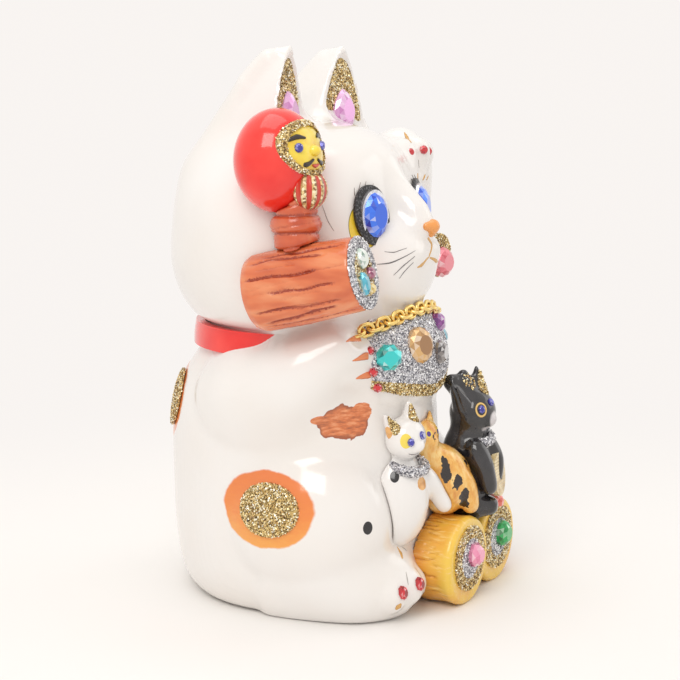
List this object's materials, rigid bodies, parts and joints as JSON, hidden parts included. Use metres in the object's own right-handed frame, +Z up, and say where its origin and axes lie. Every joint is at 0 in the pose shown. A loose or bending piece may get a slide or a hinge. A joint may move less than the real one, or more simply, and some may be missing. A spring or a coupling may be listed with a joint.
{
  "type": "beckoning cat figurine",
  "caption": "Seated ceramic cat with one paw raised and a mallet on its other arm, kittens and rice bales at its feet, trimmed with glued stones and glitter.",
  "frame": {"origin": "on the table under the middle of the neck's width, in the plane of the flat base", "axes": "+Z up, the cat looks along -Y, its right side is at -X"},
  "size_m": [0.1144, 0.1108, 0.1834],
  "materials": {
    "black_glaze": "glossy black glaze",
    "black_glue": "black textured enamel",
    "blue_stone": "faceted blue acrylic rhinestone",
    "brown_glaze": "satin red-brown enamel with wood-grain grooves",
    "cream_glaze": "cream and gold enamel",
    "gold_glitter": "gold glitter flakes in clear glue",
    "gold_plate": "bright gold-plated twisted links",
    "mixed_stones": "faceted acrylic rhinestones in teal, amber, smoke, green, pink and mauve",
    "orange_glaze": "orange-gold lustre",
    "pink_stone": "faceted pink acrylic rhinestone",
    "purple_stone": "faceted purple acrylic rhinestone",
    "red_glaze": "glossy red enamel over glaze",
    "red_stone": "faceted red rhinestone",
    "silver_glitter": "silver glitter flakes in clear glue",
    "silver_plate": "bright silver foil edge",
    "straw_glaze": "golden-yellow enamel with straw lines",
    "tortoiseshell_glaze": "gold and black brushed enamel",
    "white_glaze": "thick glossy white glaze",
    "yellow_glaze": "glossy yellow enamel"
  },
  "bodies": {
    "root": {"back_glitter": "gold_glitter", "bale_far": "straw_glaze", "bale_gold_glitter": "gold_glitter", "bale_near": "straw_glaze", "bale_silver_glitter": "silver_glitter", "bale_stones": "mixed_stones", "bib_gold_hem": "gold_glitter", "bib_silver_glitter": "silver_glitter", "bib_stones": "mixed_stones", "charm_glitter": "gold_glitter", "charm_stone": "pink_stone", "collar_band": "red_glaze", "daruma_body": "red_glaze", "daruma_border": "gold_glitter", "daruma_chest": "red_glaze", "daruma_eye_stones": "blue_stone", "daruma_face": "yellow_glaze", "ear_glitter": "gold_glitter", "ear_left": "white_glaze", "ear_right": "white_glaze", "ear_stones": "pink_stone", "eye_bezels": "silver_plate", "eye_black_rings": "black_glue", "eye_stones": "blue_stone", "haunch_glitter": "gold_glitter", "head_casting": "white_glaze", "kitten_black_body": "black_glaze", "kitten_black_head": "black_glaze", "kitten_collars": "silver_glitter", "kitten_ear_glitter": "gold_glitter", "kitten_eye_stones": "blue_stone", "kitten_gold_body": "tortoiseshell_glaze", "kitten_gold_head": "tortoiseshell_glaze", "kitten_white_body": "white_glaze", "kitten_white_head": "white_glaze", "koban": "cream_glaze", "left_foot": "white_glaze", "mallet_barrel": "brown_glaze", "mallet_gold_glitter": "gold_glitter", "mallet_neck": "brown_glaze", "mallet_silver_glitter": "silver_glitter", "mallet_stones": "mixed_stones", "neck_chain": "gold_plate", "nose": "orange_glaze", "paw_stones": "red_stone", "raised_left_arm": "white_glaze", "raised_paw_stones": "red_stone", "right_arm": "white_glaze", "right_foot": "white_glaze", "throat_stone": "purple_stone", "toe_stones": "red_stone", "torso_casting": "white_glaze"}
  },
  "joints": []
}
